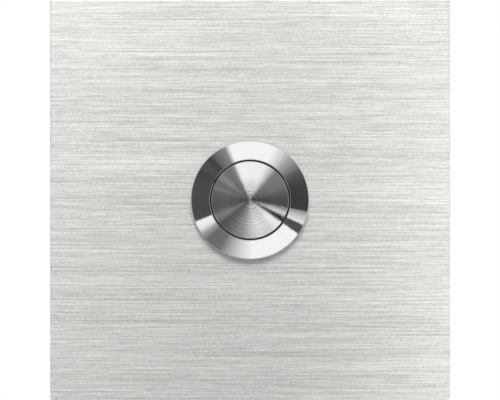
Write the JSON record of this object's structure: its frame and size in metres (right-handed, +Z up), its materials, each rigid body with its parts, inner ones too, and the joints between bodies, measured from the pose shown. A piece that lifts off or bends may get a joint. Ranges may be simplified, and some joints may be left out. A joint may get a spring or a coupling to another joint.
{
  "type": "doorbell push button",
  "caption": "Square brushed steel wall plate with a central turned metal bell push: conical bezel ring, low round cap, sprung switch behind and weld studs for hidden fixing.",
  "frame": {"origin": "middle of the wall face of the foam seal, on the push axis", "axes": "+X to the right seen from the front, +Y into the wall along the push, +Z up"},
  "size_m": [0.085, 0.0279, 0.085],
  "materials": {
    "brushed_plate": "fine horizontal brushing, satin",
    "turned_steel": "lathe-turned, bright, concentric marks",
    "stud_steel": "rolled thread, satin",
    "nickel_plate": "nickel plated, satin",
    "spring_steel": "plain spring steel",
    "zinc_plate": "zinc plated, bright",
    "terminal_brass": "plain brass, satin",
    "contact_silver": "silver, satin",
    "seal_foam": "closed-cell foam, matte",
    "seal_rubber": "moulded rubber, matte",
    "base_plastic": "moulded thermoset, fine grain",
    "plunger_plastic": "moulded, natural white"
  },
  "bodies": {
    "panel": {"front_plate": "brushed_plate", "fixing_studs": "stud_steel", "wall_seal": "seal_foam", "button_housing": "turned_steel", "flange_seal": "seal_rubber", "lock_washer": "spring_steel", "hex_nut": "nickel_plate", "contact_base": "base_plastic", "retaining_ring": "spring_steel", "left_terminal": "terminal_brass", "right_terminal": "terminal_brass", "fixed_contacts": "contact_silver", "clamp_washers": "zinc_plate", "terminal_screws": "zinc_plate", "return_spring": "spring_steel"},
    "button": {"button_cap": "turned_steel", "cap_seal": "seal_rubber", "plunger": "plunger_plastic", "bridge_clip": "spring_steel", "contact_spring": "spring_steel"},
    "bridge": {"contact_bridge": "terminal_brass", "bridge_contacts": "contact_silver"}
  },
  "joints": [
    {"name": "button_press", "type": "slide", "parent": "panel", "child": "button", "axis": [0, 1, 0], "range_m": [0, 0.002], "stiffness_N_per_m": 900, "springref_m": -0.003, "deforming": ["return_spring", "contact_spring"]},
    {"name": "bridge_slide", "type": "slide", "parent": "panel", "child": "bridge", "axis": [0, 1, 0], "range_m": [0, 0.001]}
  ],
  "couplings": [
    {"joint": "bridge_slide", "follows": "button_press", "ratio": 0.5}
  ]
}
